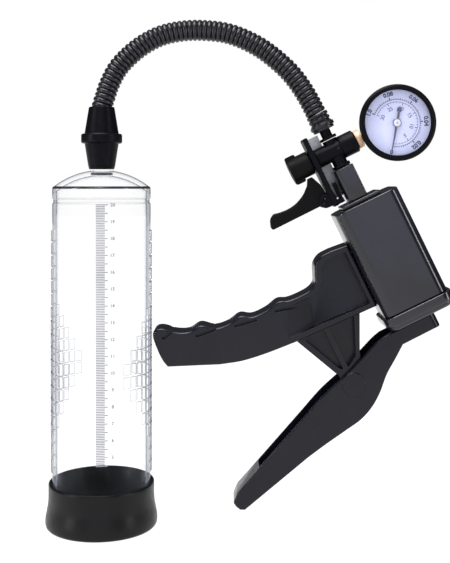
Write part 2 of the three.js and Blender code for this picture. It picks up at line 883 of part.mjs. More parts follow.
function addGauge(group) {
  place(group, "gauge_adapter", gaugeAdapter(), BRASS);
  place(group, "gauge_case", gaugeCase(), BLACK_SATIN);
  place(group, "gauge_bezel", gaugeBezel(), BLACK_PLASTIC);
  place(group, "gauge_lens", gaugeLens(), CLEAR);
  place(group, "gauge_dial", gaugeDial(), DIAL_WHITE);
  place(group, "gauge_needle", gaugeNeedle(), STEEL);
  place(group, "needle_spindle", needleSpindle(), STEEL);
  place(group, "bourdon_tube", bourdonTube(), BRASS);
}

function addHandles(group) {
  place(group, "grip_frame", gripFrame(), BLACK_PLASTIC);
  place(group, "trigger", trigger(), BLACK_PLASTIC);
  place(group, "pivot_pin", pivotPin(), STEEL);
  place(group, "rod_pin", rodPin(), STEEL);
}

function pumpSide() {
  const group = new THREE.Group();
  group.position.set(CHAMBER_X + PUMP_X, 0, PUMP_Z);
  group.rotation.y = THREE.MathUtils.degToRad(-PUMP_TILT_DEG);
  addCylinderPieces(group);
  addHeadPieces(group);
  addReleaseValve(group);
  addGauge(group);
  addHandles(group);
  return group;
}

const assembly = new THREE.Group();
assembly.add(chamberSide());
assembly.add(pumpSide());

export default assembly;
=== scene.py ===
"""Looks of the hand vacuum pump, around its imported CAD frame.

A clear graduated chamber, a corrugated hose and a black pistol-grip pump with a gauge.
Shapes are drawn in millimetres, in the chamber's or the pump's own frame, and are then
moved into the part's frame in metres.
"""

import math

import bmesh
import bpy
from mathutils import Matrix, Vector


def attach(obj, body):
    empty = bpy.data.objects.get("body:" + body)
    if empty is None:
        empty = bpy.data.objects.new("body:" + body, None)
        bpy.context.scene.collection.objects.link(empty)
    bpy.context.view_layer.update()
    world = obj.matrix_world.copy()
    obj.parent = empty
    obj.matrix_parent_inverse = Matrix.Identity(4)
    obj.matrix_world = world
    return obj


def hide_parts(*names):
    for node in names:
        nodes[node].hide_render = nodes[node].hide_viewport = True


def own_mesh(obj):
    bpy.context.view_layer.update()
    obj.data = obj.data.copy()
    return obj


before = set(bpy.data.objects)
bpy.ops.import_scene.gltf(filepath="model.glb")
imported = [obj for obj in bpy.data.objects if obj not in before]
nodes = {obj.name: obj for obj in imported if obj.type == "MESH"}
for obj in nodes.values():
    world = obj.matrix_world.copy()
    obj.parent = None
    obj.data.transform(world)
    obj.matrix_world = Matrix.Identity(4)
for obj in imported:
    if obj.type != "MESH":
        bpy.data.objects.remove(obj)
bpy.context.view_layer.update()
scene = bpy.context.scene

# ---------- the camera ----------
LENS_MM = 62.34
VIEW_SHIFT = -0.1714
EYE = (-0.01396, -0.608, 0.211)
camera_data = bpy.data.cameras.new("camera")
camera_data.lens = LENS_MM
camera_data.sensor_width = 36
camera_data.shift_y = VIEW_SHIFT
camera_data.clip_start = 0.01
camera = bpy.data.objects.new("camera", camera_data)
scene.collection.objects.link(camera)
camera.location = EYE
camera.rotation_euler = (math.radians(90), 0, 0)
scene.camera = camera

# ---------- the two frames ----------
MM = Matrix.Scale(0.001, 4)
CHAMBER_X = -0.09086
PUMP_TILT_DEG = 26
CHAMBER = Matrix.Translation((CHAMBER_X, 0, 0)) @ MM
PUMP_FOOT = Matrix.Translation((CHAMBER_X + 0.1934, 0, 0.1384))
PUMP = PUMP_FOOT @ Matrix.Rotation(math.radians(-PUMP_TILT_DEG), 4, "Y") @ MM
GAUGE_X = 39.0
GAUGE_Z = 104.3
BARREL_Z = 105.6
STAND_UP = Matrix.Rotation(math.radians(90), 4, "X")
GAUGE = PUMP @ Matrix.Translation((GAUGE_X, 0, GAUGE_Z)) @ STAND_UP
OUTLET_X = -2.3
OUTLET = PUMP @ Matrix.Translation((OUTLET_X, 0, 0))


# ---------- outlines ----------


def filleted(points, radius, steps=4):
    """A closed outline with its corners rounded; a point may carry its own radius."""
    made = []
    count = len(points)
    for i, point in enumerate(points):
        corner = Vector(point[:2])
        before = Vector(points[i - 1][:2]) - corner
        after = Vector(points[(i + 1) % count][:2]) - corner
        r = point[2] if len(point) > 2 else radius
        turn = before.angle(after, 0)
        if r <= 0 or turn > 3.05 or turn < 0.05:
            made.append(tuple(corner))
            continue
        reach = min(r / math.tan(turn / 2), 0.45 * before.length, 0.45 * after.length)
        a = corner + before.normalized() * reach
        b = corner + after.normalized() * reach
        for k in range(steps + 1):
            s = k / steps
            made.append(tuple(a * (1 - s) ** 2 + corner * (2 * s * (1 - s)) + b * s * s))
    return made


def through(points, per_span=6):
    """A centripetal Catmull-Rom curve through the points, ends included."""
    p = [Vector(q) for q in points]
    p = [2 * p[0] - p[1], *p, 2 * p[-1] - p[-2]]
    made = []
    for i in range(1, len(p) - 2):
        gap = [max((p[i + k] - p[i + k - 1]).length ** 0.5, 1e-4) for k in range(3)]
        start = (
            (p[i] - p[i - 1]) / gap[0]
            - (p[i + 1] - p[i - 1]) / (gap[0] + gap[1])
            + (p[i + 1] - p[i]) / gap[1]
        ) * gap[1]
        end = (
            (p[i + 1] - p[i]) / gap[1]
            - (p[i + 2] - p[i]) / (gap[1] + gap[2])
            + (p[i + 2] - p[i + 1]) / gap[2]
        ) * gap[1]
        for k in range(per_span):
            t = k / per_span
            made.append(
                tuple(
                    p[i] * (2 * t**3 - 3 * t**2 + 1)
                    + start * (t**3 - 2 * t**2 + t)
                    + p[i + 1] * (3 * t**2 - 2 * t**3)
                    + end * (t**3 - t**2)
                )
            )
    made.append(tuple(p[-2]))
    return made


def rounded_rectangle(width, depth, corner, x=0.0, y=0.0, steps=8):
    w, d = width / 2 - corner, depth / 2 - corner
    made = []
    for quarter, (cx, cy) in enumerate([(w, -d), (w, d), (-w, d), (-w, -d)]):
        for k in range(steps + 1):
            a = math.radians(90 * (quarter - 1) + 90 * k / steps)
            made.append((x + cx + corner * math.cos(a), y + cy + corner * math.sin(a)))
    return made


def circle(r, centre=(0, 0), sides=48):
    turn = 2 * math.pi / sides
    cx, cy = centre
    return [(cx + r * math.cos(i * turn), cy + r * math.sin(i * turn)) for i in range(sides)]


def stadium(centre, half_length, r, lean_deg=0.0, steps=10):
    """A slot with round ends, leaning up by an angle."""
    lean = math.radians(lean_deg)
    made = []
    for end in (1, -1):
        for k in range(steps + 1):
            a = math.radians(-90 * end + 180 * k / steps)
            x = end * half_length + r * math.cos(a)
            z = r * math.sin(a)
            made.append(
                (
                    centre[0] + x * math.cos(lean) - z * math.sin(lean),
                    centre[1] + x * math.sin(lean) + z * math.cos(lean),
                )
            )
    return made


def counterclockwise(outline):
    area = sum(
        a[0] * b[1] - b[0] * a[1] for a, b in zip(outline, outline[1:] + outline[:1])
    )
    return outline if area > 0 else outline[::-1]


def inset(outline, d):
    """The outline moved inwards by d, corner by corner."""
    if not d:
        return outline
    made = []
    count = len(outline)
    for i in range(count):
        q = Vector(outline[i])
        e1 = (q - Vector(outline[i - 1])).normalized()
        e2 = (Vector(outline[(i + 1) % count]) - q).normalized()
        n1 = Vector((-e1.y, e1.x))
        n2 = Vector((-e2.y, e2.x))
        move = (n1 + n2) / max(1 + n1.dot(n2), 0.5)
        made.append(tuple(q + move * d))
    return made


# ---------- solids, in millimetres ----------


def solid(verts, faces):
    mesh = bpy.data.meshes.new("solid")
    mesh.from_pydata(verts, [], faces)
    bm = bmesh.new()
    bm.from_mesh(mesh)
    bmesh.ops.remove_doubles(bm, verts=bm.verts, dist=1e-4)
    bmesh.ops.recalc_face_normals(bm, faces=bm.faces)
    bm.to_mesh(mesh)
    bm.free()
    made = bpy.data.objects.new("solid", mesh)
    scene.collection.objects.link(made)
    return made


AXES = {
    "x": lambda a, b, level: (level, a, b),
    "y": lambda a, b, level: (a, level, b),
    "z": lambda a, b, level: (a, b, level),
}


def ruled(rings, axis):
    """A solid between outlines of the same number of points, each at its own level."""
    count = len(rings[0][0])
    place = AXES[axis]
    verts = [place(*p, level) for outline, level in rings for p in outline]
    faces = [tuple(range(count))[::-1]]
    for k in range(len(rings) - 1):
        for i in range(count):
            j = (i + 1) % count
            low, high = k * count, (k + 1) * count
            faces.append((low + i, low + j, high + j, high + i))
    faces.append(tuple(range((len(rings) - 1) * count, len(rings) * count)))
    return solid(verts, faces)


def loft(outline, levels, axis="z"):
    """An outline raised through (inset, level) pairs."""
    outline = counterclockwise(outline)
    return ruled([(inset(outline, d), level) for d, level in levels], axis)


def prism(outline, low, high, axis="z", rounding=0.0, steps=4):
    """An outline raised between two levels, with both rims rounded over."""
    if rounding <= 0:
        return loft(outline, [(0, low), (0, high)], axis)
    arc = []
    for k in range(steps + 1):
        a = math.radians(90 * k / steps)
        arc.append((rounding * (1 - math.sin(a)), rounding * (1 - math.cos(a))))
    levels = [(d, low + up) for d, up in arc]
    levels += [(d, high - up) for d, up in reversed(arc)]
    return loft(outline, levels, axis)


def lathe(profile, sides=96):
    """A solid of revolution about Z; a profile that leaves the axis closes on itself."""
    profile = list(profile)
    closed = profile[0][0] > 1e-6
    verts, rings = [], []
    for r, z in profile:
        start = len(verts)
        if r <= 1e-6:
            verts.append((0, 0, z))
            rings.append([start] * sides)
        else:
            for i in range(sides):
                a = 2 * math.pi * i / sides
                verts.append((r * math.cos(a), r * math.sin(a), z))
            rings.append([start + i for i in range(sides)])
    faces = []
    pairs = list(zip(rings, rings[1:]))
    if closed:
        pairs.append((rings[-1], rings[0]))
    for a, b in pairs:
        for i in range(sides):
            j = (i + 1) % sides
            corners = []
            for v in (a[i], a[j], b[j], b[i]):
                if v not in corners:
                    corners.append(v)
            if len(corners) > 2:
                faces.append(corners)
    return solid(verts, faces)


def turned(made, axis, x=0.0, y=0.0, z=0.0):
    """A solid of revolution stood along another axis, then moved."""
    spin = {"x": Matrix.Rotation(math.radians(90), 4, "Y"), "z": Matrix.Identity(4)}
    made.data.transform(Matrix.Translation((x, y, z)) @ spin[axis])
    return made


def rod(r, low, high, axis, centre=(0, 0), chamfer=0.0, sides=48):
    return prism(circle(r, centre, sides), low, high, axis, chamfer)


def block(x0, x1, y0, y1, z0, z1, rounding=0.0):
    return prism([(x0, z0), (x1, z0), (x1, z1), (x0, z1)], y0, y1, "y", rounding)


def combined(base, tools, operation):
    for tool in tools:
        modifier = base.modifiers.new("combine", "BOOLEAN")
        modifier.operation = operation
        modifier.solver = "EXACT"
        modifier.object = tool
        depsgraph = bpy.context.evaluated_depsgraph_get()
        mesh = bpy.data.meshes.new_from_object(base.evaluated_get(depsgraph))
        base.modifiers.clear()
        base.data = mesh
        bpy.data.objects.remove(tool)
    return base


def cut(base, *tools):
    return combined(base, tools, "DIFFERENCE")


def joined(base, *tools):
    return combined(base, tools, "UNION")


# ---------- materials ----------


def link(tree, source, target):
    tree.links.new(source, target)


def new_node(tree, kind, **values):
    node = tree.nodes.new(kind)
    for key, value in values.items():
        setattr(node, key, value)
    return node


def noise(tree, scale, detail=3.0):
    coordinates = new_node(tree, "ShaderNodeTexCoord")
    texture = new_node(tree, "ShaderNodeTexNoise")
    texture.inputs["Scale"].default_value = scale
    texture.inputs["Detail"].default_value = detail
    link(tree, coordinates.outputs["Object"], texture.inputs["Vector"])
    return texture.outputs["Fac"]


def ranged(tree, value, low, high, to_low, to_high):
    node = new_node(tree, "ShaderNodeMapRange")
    link(tree, value, node.inputs["Value"])
    node.inputs["From Min"].default_value = low
    node.inputs["From Max"].default_value = high
    node.inputs["To Min"].default_value = to_low
    node.inputs["To Max"].default_value = to_high
    return node.outputs["Result"]


def mixed(tree, share, a, b):
    """Colour a turning into colour b; either may be a plain colour or a socket."""
    node = new_node(tree, "ShaderNodeMix", data_type="RGBA")
    link(tree, share, node.inputs[0])
    for socket, value in ((node.inputs[6], a), (node.inputs[7], b)):
        if isinstance(value, bpy.types.NodeSocket):
            link(tree, value, socket)
        else:
            socket.default_value = (*value, 1)
    return node.outputs[2]


def bumped(tree, height, distance, strength, normal=None):
    node = new_node(tree, "ShaderNodeBump")
    node.inputs["Strength"].default_value = strength
    node.inputs["Distance"].default_value = distance
    link(tree, height, node.inputs["Height"])
    if normal is not None:
        link(tree, normal, node.inputs["Normal"])
    return node.outputs["Normal"]


def shaded(values, **inputs):
    for key, value in inputs.items():
        values.inputs[key.replace("_", " ")].default_value = value


def moulded(
    name,
    colour,
    roughness,
    specular=0.5,
    metallic=0.0,
    grain=0.05,
    grain_size=0.0004,
    swirl=0.25,
    edge=0.0003,
    wear=0.25,
    coat=0.0,
):
    """A moulded, cast or turned surface: cloudy colour, uneven gloss, fine grain, worn edges."""
    material = bpy.data.materials.new(name)
    material.use_nodes = True
    tree = material.node_tree
    values = tree.nodes["Principled BSDF"]
    shaded(values, Metallic=metallic, Specular_IOR_Level=specular, Coat_Weight=coat)
    values.inputs["Coat Roughness"].default_value = 0.08
    cloud = noise(tree, 45, 4)
    darker = [c * (1 - swirl) for c in colour]
    lighter = [c * (1 + swirl) for c in colour]
    shade = mixed(tree, ranged(tree, cloud, 0.3, 0.7, 0, 1), darker, lighter)
    bevel = new_node(tree, "ShaderNodeBevel", samples=4)
    bevel.inputs["Radius"].default_value = edge
    geometry = new_node(tree, "ShaderNodeNewGeometry")
    facing = new_node(tree, "ShaderNodeVectorMath", operation="DOT_PRODUCT")
    link(tree, bevel.outputs["Normal"], facing.inputs[0])
    link(tree, geometry.outputs["Normal"], facing.inputs[1])
    worn = ranged(tree, facing.outputs["Value"], 0.97, 0.8, 0, wear)
    rubbed = [min(c * 2.5 + 0.02, 1) for c in colour]
    link(tree, mixed(tree, worn, shade, rubbed), values.inputs["Base Color"])
    scuffs = noise(tree, 260, 5)
    uneven = ranged(tree, scuffs, 0.35, 0.7, roughness * 0.85, min(roughness * 1.2, 1))
    link(tree, uneven, values.inputs["Roughness"])
    fine = noise(tree, 1 / grain_size, 2)
    normal = bumped(tree, fine, grain_size * 0.4, grain, bevel.outputs["Normal"])
    link(tree, normal, values.inputs["Normal"])
    return material


def clear(name, ramp, tint, edge_tint, roughness=0.04):
    """Clear plastic: nearly unseen face on, and darker where it is seen edge on."""
    material = bpy.data.materials.new(name)
    material.use_nodes = True
    tree = material.node_tree
    values = tree.nodes["Principled BSDF"]
    shaded(values, Specular_IOR_Level=0.5)
    weight = new_node(tree, "ShaderNodeLayerWeight")
    weight.inputs["Blend"].default_value = 0.5
    curve = new_node(tree, "ShaderNodeValToRGB")
    elements = curve.color_ramp.elements
    while len(elements) < len(ramp):
        elements.new(0.5)
    for element, (where, alpha) in zip(elements, ramp):
        element.position = where
        element.color = (alpha, alpha, alpha, 1)
    link(tree, weight.outputs["Facing"], curve.inputs["Fac"])
    link(tree, curve.outputs["Color"], values.inputs["Alpha"])
    cloud = ranged(tree, noise(tree, 60, 3), 0.3, 0.7, 0.0, 0.12)
    body = mixed(tree, cloud, tint, [c * 0.8 for c in tint])
    edge = ranged(tree, weight.outputs["Facing"], 0.6, 0.95, 0, 1)
    link(tree, mixed(tree, edge, body, edge_tint), values.inputs["Base Color"])
    haze = ranged(tree, noise(tree, 400, 4), 0.3, 0.8, roughness, roughness * 2)
    link(tree, haze, values.inputs["Roughness"])
    return material


gloss_black = moulded("gloss_black_plastic", (0.007, 0.007, 0.011), 0.15, 0.55, grain=0.01)
grip_black = moulded(
    "grip_black_plastic", (0.0035, 0.0035, 0.0075), 0.24, 0.3, grain=0.01, wear=0.08
)
satin_black = moulded("satin_black_plastic", (0.0015, 0.0015, 0.003), 0.4, 0.09, grain=0.06)
matte_black = moulded("matte_black_plastic", (0.002, 0.002, 0.0022), 0.5, 0.1, grain=0.1)
sleeve_rubber = moulded("sleeve_rubber", (0.003, 0.003, 0.0034), 0.36, 0.2, grain=0.05)
hose_rubber = moulded(
    "hose_rubber", (0.004, 0.004, 0.0065), 0.3, 0.4, grain=0.02, edge=0.00002, wear=0.0
)
steel = moulded("turned_steel", (0.5, 0.5, 0.52), 0.3, metallic=1.0, grain=0.05, swirl=0.1)
zinc = moulded("zinc_plate", (0.7, 0.7, 0.72), 0.5, metallic=0.3, swirl=0.3, grain=0.5)
brass = moulded("adapter_brass", (0.75, 0.48, 0.3), 0.42, metallic=0.35, grain=0.06, swirl=0.12)
dial_paint = moulded("dial_paint", (0.62, 0.65, 0.9), 0.5, 0.3, swirl=0.06, wear=0.0)
ink_navy = moulded("ink_navy", (0.03, 0.03, 0.12), 0.6, 0.2, wear=0.0)
ink_faded = moulded("ink_faded", (0.14, 0.15, 0.34), 0.6, 0.2, wear=0.0)
ink_grey = moulded("ink_grey", (0.2, 0.2, 0.22), 0.6, 0.2, wear=0.0)
ink_light = moulded("ink_light", (0.3, 0.3, 0.33), 0.6, 0.2, wear=0.0)
needle_dark = moulded("needle_dark", (0.03, 0.03, 0.06), 0.5, 0.3, wear=0.0)
needle_tail = moulded("needle_tail", (0.16, 0.16, 0.24), 0.5, 0.3, wear=0.0)
hub_white = moulded("hub_white", (0.72, 0.7, 0.76), 0.35, 0.5, wear=0.0)

WALL_RAMP = [
    (0.0, 0.0),
    (0.5, 0.025),
    (0.68, 0.08),
    (0.78, 0.2),
    (0.86, 0.5),
    (0.92, 0.85),
    (1.0, 1.0),
]
acrylic = clear("clear_acrylic", WALL_RAMP, (0.7, 0.75, 0.82), (0.03, 0.035, 0.05))
# Painted shade: a near-black band round the tube's shoulder edge, standing in for the dark line
# the curved edge refracts; the plastic has no seam there.
SHOULDER_SHADE_RAMP = [(0.0, 0.85), (1.0, 0.97)]
acrylic_shoulder_shade = clear("clear_acrylic_shoulder_shade", SHOULDER_SHADE_RAMP, (0.01, 0.011, 0.014), (0.005, 0.005, 0.008))
# Painted shade: darker lines on the slopes of the ring groove near the top of the tube, standing
# in for the dark lines the groove refracts.
GROOVE_SHADE_RAMP = [(0.0, 0.12), (0.6, 0.25), (1.0, 0.9)]
acrylic_groove_shade = clear("clear_acrylic_groove_shade", GROOVE_SHADE_RAMP, (0.25, 0.27, 0.3), (0.04, 0.05, 0.07))
EDGE_RAMP = [
    (0.0, 0.0),
    (0.5, 0.02),
    (0.58, 0.06),
    (0.615, 0.6),
    (0.66, 0.36),
    (0.8, 0.5),
    (0.92, 0.75),
    (1.0, 1.0),
]
acrylic_wall = clear("clear_acrylic_wall", EDGE_RAMP, (0.2, 0.23, 0.29), (0.015, 0.018, 0.026))
# Painted shade: darker side walls on the raised clear grip blocks, standing in for the dark
# outlines their edges refract.
BLOCK_OUTLINE_SHADE_RAMP = [(0.0, 0.28), (0.5, 0.5), (0.85, 0.85), (1.0, 0.95)]
acrylic_block_outline_shade = clear("clear_acrylic_block_outline_shade", BLOCK_OUTLINE_SHADE_RAMP, (0.2, 0.22, 0.27), (0.05, 0.06, 0.08))
LENS_RAMP = [(0.0, 0.05), (0.6, 0.08), (1.0, 0.4)]
lens_clear = clear("lens_clear", LENS_RAMP, (0.75, 0.78, 0.95), (0.3, 0.32, 0.4), 0.03)


# ---------- placing pieces ----------


def piece(made, name, place, materials, body, replaced=(), smooth_deg=32):
    """Gives a solid its place, look, body and the CAD nodes it stands for."""
    made.name = name
    made.data.name = name
    made.data.transform(place)
    if not isinstance(materials, (list, tuple)):
        materials = [materials]
    made.data.materials.clear()
    for material in materials:
        made.data.materials.append(material)
    made.data.shade_smooth()
    made.data.set_sharp_from_angle(angle=math.radians(smooth_deg))
    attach(made, body)
    if replaced:
        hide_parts(*replaced)
    return made


def paint(made, choose, place):
    """Gives each face the material index that choose says for its middle, in millimetres."""
    back = place.inverted()
    for face in made.data.polygons:
        face.material_index = choose(back @ face.center)


# ---------- hose ----------
HOSE_ROUTE = [
    (0, 249.8),
    (0, 255.5),
    (0.5, 260.5),
    (2.2, 266),
    (4.6, 273.1),
    (9.9, 283.3),
    (17.7, 291.9),
    (27.3, 299.2),
    (37.9, 304.3),
    (51, 307),
    (64.4, 307.3),
    (79.9, 305.1),
    (97.8, 297.2),
    (113.5, 285),
    (121.2, 276.5),
    (127.9, 266.4),
    (133.76, 255.38),
]
HOSE_CREST = 6.6
HOSE_DEPTH = 1.0
RIB_PITCH = 3.0
RINGS_PER_RIB = 8


def evenly(points, step):
    """Points at even steps along a line of points."""
    points = [Vector(p) for p in points]
    lengths = [0.0]
    for a, b in zip(points, points[1:]):
        lengths.append(lengths[-1] + (b - a).length)
    count = round(lengths[-1] / step)
    made, at = [], 0
    for i in range(count + 1):
        s = lengths[-1] * i / count
        while at < len(points) - 2 and lengths[at + 1] < s:
            at += 1
        share = (s - lengths[at]) / (lengths[at + 1] - lengths[at])
        made.append(points[at].lerp(points[at + 1], share))
    return made


def corrugated_hose(sides=48):
    line = evenly(through(HOSE_ROUTE, 16), RIB_PITCH / RINGS_PER_RIB)
    verts, faces = [], []
    for i, at in enumerate(line):
        ahead = line[min(i + 1, len(line) - 1)]
        behind = line[max(i - 1, 0)]
        along = (ahead - behind).normalized()
        across = Vector((along.y, -along.x))
        rise = abs(math.sin(math.pi * i / RINGS_PER_RIB)) ** 0.7
        r = HOSE_CREST - HOSE_DEPTH + HOSE_DEPTH * rise
        for k in range(sides):
            a = 2 * math.pi * k / sides
            out = across * (r * math.cos(a))
            verts.append((at.x + out.x, r * math.sin(a), at.y + out.y))
        if i:
            for k in range(sides):
                j = (k + 1) % sides
                low, high = (i - 1) * sides, i * sides
                faces.append((low + k, low + j, high + j, high + k))
    faces.append(tuple(range(sides))[::-1])
    faces.append(tuple(range(len(verts) - sides, len(verts))))
    path = [tuple(CHAMBER @ Vector((p.x, 0, p.y))) for p in line]
    return solid(verts, faces), path


hose_mesh, hose_path = corrugated_hose()
hose = piece(hose_mesh, "hose_shown", CHAMBER, hose_rubber, "pump", ["hose"], 50)

cuff_profile = filleted(
    [
        (4.5, 119.8),
        (6.4, 119.8),
        (6.9, 120.4),
        (6.9, 121.6, 0.3),
        (7.75, 121.7, 0.5),
        (7.75, 123.9, 0.5),
        (6.9, 124.0, 0.3),
        (6.9, 124.6, 0.3),
        (6.1, 125.2, 0.3),
        (6.1, 125.6, 0.3),
        (6.9, 126.2, 0.4),
        (6.9, 127.6, 0.4),
        (6.1, 128.2, 0.3),
        (6.1, 128.6, 0.3),
        (6.9, 129.2, 0.4),
        (6.9, 130.3),
        (6.4, 131),
        (4.5, 131),
    ],
    0.35,
)
cuff_made = lathe(cuff_profile, 64)
hose_cuff = piece(
    cuff_made, "hose_cuff_shown", OUTLET, hose_rubber, "pump", ["hose_cuff"]
)

# ---------- chamber ----------
TUBE_R = 30.4
TUBE_INSIDE = 27.9
BLOCK_TURN = 9.0
BLOCK_PITCH = 7.93
BLOCK_FOOT = 32.9
BLOCK_ROWS = 19
BLOCK_RISE = 1.0
PATCH_MIDDLE = 96.0


def dome(rim_r, base_z, rise, inner_r, count):
    """A shallow spherical dome's outline from its rim in to a radius."""
    sphere = (rim_r * rim_r + rise * rise) / (2 * rise)
    made = []
    for i in range(count + 1):
        r = rim_r + (inner_r - rim_r) * i / count
        made.append((r, base_z + rise - sphere + math.sqrt(sphere * sphere - r * r)))
    return made


def block_reach(z):
    """How many blocks the grip patch reaches each way round from the side, at a height."""
    return max(1, min(6, round(6.6 - abs(z - PATCH_MIDDLE) / BLOCK_PITCH)))


def grip_columns():
    """(angle in degrees, side patch block number or None, rise share) round the tube."""
    columns = []
    for side in (0, 180):
        for k in range(-6, 7):
            middle = side + BLOCK_TURN * k
            for off, rise in ((-3.95, 0), (-3.4, 1), (-1.5, 1), (1.5, 1), (3.4, 1), (3.95, 0)):
                columns.append((middle + off, abs(k), rise))
        gap = 180 - 2 * (6 * BLOCK_TURN + 3.95)
        first = side + 6 * BLOCK_TURN + 3.95
        for k in range(1, 14):
            columns.append((first + gap * k / 14, None, 0))
    return columns


def grip_rows():
    """(height, row middle or None, rise share) up the patterned stretch."""
    rows = []
    for k in range(BLOCK_ROWS):
        middle = BLOCK_FOOT + BLOCK_PITCH * (k + 0.5)
        for off, rise in ((-3.6, 0), (-3.1, 1), (0, 1), (3.1, 1), (3.6, 0)):
            rows.append((middle + off, middle, rise))
    return rows


def chamber_tube():
    columns = grip_columns()
    rows = [(3.3, None, 0, TUBE_R - 0.5), (3.8, None, 0, TUBE_R), (28.0, None, 0, TUBE_R)]
    rows += [(z, middle, rise, TUBE_R) for z, middle, rise in grip_rows()]
    groove_r = TUBE_R - 0.7
    upper = [(TUBE_R, 199.2), (TUBE_R - 0.1, 199.5), (groove_r, 200.1), (groove_r, 202.0)]
    upper += [(TUBE_R - 0.1, 202.6), (TUBE_R, 202.9), (TUBE_R, 208.7), (TUBE_R - 0.15, 209.4)]
    upper += [(TUBE_R - 0.5, 209.95)]
    upper += dome(29.3, 210.15, 10.15, 7.2, 24)
    upper += [(7.2, 231.6), (6.6, 232.2)]
    rows += [(z, None, 0, r) for r, z in upper]
    inner = [(5.4, 232.2), (5.4, 219.0), (6.9, 219.0)]
    inner += dome(TUBE_INSIDE, 207.4, 9.7, 6.9, 16)[::-1]
    inner += [(TUBE_INSIDE, 150), (TUBE_INSIDE, 80), (TUBE_INSIDE, 3.3)]
    rows += [(z, None, 0, r) for r, z in inner]
    verts, faces = [], []
    for z, middle, row_rise, r in rows:
        for angle, number, column_rise in columns:
            lift = 0.0
            if middle is not None and number is not None and number <= block_reach(middle):
                edge_block = number == block_reach(middle)
                lift = BLOCK_RISE * row_rise * column_rise * (0.7 if edge_block else 1)
            a = math.radians(angle)
            verts.append(((r + lift) * math.cos(a), (r + lift) * math.sin(a), z))
    count = len(columns)
    for k in range(len(rows)):
        low, high = k * count, ((k + 1) % len(rows)) * count
        for i in range(count):
            j = (i + 1) % count
            faces.append((low + i, low + j, high + j, high + i))
    return solid(verts, faces)


def tube_look(middle):
    r = math.hypot(middle.x, middle.y)
    if r < TUBE_INSIDE + 0.5:
        return 0
    # Shoulder band: painted shade.
    if 208.9 < middle.z < 210.1:
        return 1
    # Groove slopes: painted shade lines.
    if 202.0 < middle.z < 202.9 or 199.2 < middle.z < 200.1:
        return 2
    # Side walls of the raised blocks: painted shade outlines; block tops stay plain clear.
    if r > TUBE_R + 0.05 and middle.z < 190:
        return 3 if r < TUBE_R + 0.62 * BLOCK_RISE else 0
    return 4 if middle.z < 208.8 else 0


tube = chamber_tube()
TUBE_LOOKS = [acrylic, acrylic_shoulder_shade, acrylic_groove_shade, acrylic_block_outline_shade, acrylic_wall]
piece(tube, "tube_shown", CHAMBER, TUBE_LOOKS, "chamber", ["chamber_tube"], 25)
paint(tube, tube_look, CHAMBER)

sleeve_profile = [
    (24.5, 0.8),
    (25.2, 0),
    (32.6, 0),
    *through([(33.6, 0.3), (34.3, 1.2), (34.6, 3), (34.45, 6), (33.9, 9.2), (33.2, 12.6)], 5),
    *through([(32.85, 15.5), (32.7, 18.5), (32.7, 26.0)], 4),
    (32.6, 26.5),
    (32.2, 26.95),
    (31.0, 26.95),
    (30.75, 26.5),
    (30.7, 3.0),
    (24.5, 3.0),
]
sleeve = lathe(sleeve_profile, 128)
piece(
    sleeve, "base_sleeve_shown", CHAMBER,
    sleeve_rubber, "chamber", ["base_sleeve"],
)

cone_profile = filleted(
    [
        (7.5, 220.9),
        (7.8, 220.9, 0.1),
        (8.4, 223.3, 0.3),
        (10.5, 236.7, 0.3),
        (12.2, 237.0, 0.2),
        (12.7, 237.6),
        (12.7, 242.1),
        (12.2, 242.8),
        (10.6, 243.0, 0.3),
        (7.95, 259.2),
        (7.5, 259.6),
        (7.3, 259.5),
        (7.05, 258.4),
        (7.05, 249.0),
        (5.4, 248.6),
        (5.4, 233.0),
        (7.5, 232.8),
    ],
    0.3,
)
cone = lathe(cone_profile, 96)
piece(
    cone, "cone_connector_shown", CHAMBER,
    satin_black, "pump", ["cone_connector"],
)

# ---------- printed scale on the tube ----------
PRINT_R = TUBE_R + 0.02
PRINT_THICK = 0.05
SCALE_DROP = 0.8


def wrapped(point):
    """A point of the flat print laid on the front of the tube: along, out, up."""
    along, out, up = point
    a = along / PRINT_R
    r = PRINT_R + out
    return (r * math.sin(a), -r * math.cos(a), up)


def printed_bar(x0, x1, z0, z1, columns=3):
    grid = []
    for k in range(columns + 1):
        x = x0 + (x1 - x0) * k / columns
        corners = ((0, z0), (PRINT_THICK, z0), (PRINT_THICK, z1), (0, z1))
        grid.append([wrapped((x, out, z)) for out, z in corners])
    verts = [v for ring in grid for v in ring]
    faces = [(3, 2, 1, 0)]
    for k in range(columns):
        for i in range(4):
            j = (i + 1) % 4
            faces.append((4 * k + i, 4 * k + j, 4 * k + 4 + j, 4 * k + 4 + i))
    last = 4 * columns
    faces.append((last, last + 1, last + 2, last + 3))
    return verts, faces


def lettering(text, height, bold=0.0):
    """The flat letters of a text, centred, of one height, as vertices and faces."""
    curve = bpy.data.curves.new("letters", "FONT")
    curve.body = text
    curve.extrude = 0.02
    curve.offset = bold
    curve.resolution_u = 3
    made = bpy.data.objects.new("letters", curve)
    scene.collection.objects.link(made)
    depsgraph = bpy.context.evaluated_depsgraph_get()
    mesh = bpy.data.meshes.new_from_object(made.evaluated_get(depsgraph))
    bpy.data.objects.remove(made)
    xs = [v.co.x for v in mesh.vertices]
    ys = [v.co.y for v in mesh.vertices]
    scale = height / (max(ys) - min(ys))
    mx, my = (min(xs) + max(xs)) / 2, (min(ys) + max(ys)) / 2
    verts = [((v.co.x - mx) * scale, (v.co.y - my) * scale, v.co.z) for v in mesh.vertices]
    return verts, [tuple(face.vertices) for face in mesh.polygons]


class Print:
    """Many small printed shapes gathered into one mesh."""

    def __init__(self):
        self.verts, self.faces = [], []

    def add(self, verts, faces, place=lambda v: v):
        start = len(self.verts)
        self.verts += [place(v) for v in verts]
        self.faces += [tuple(start + i for i in face) for face in faces]

    def made(self):
        return solid(self.verts, self.faces)


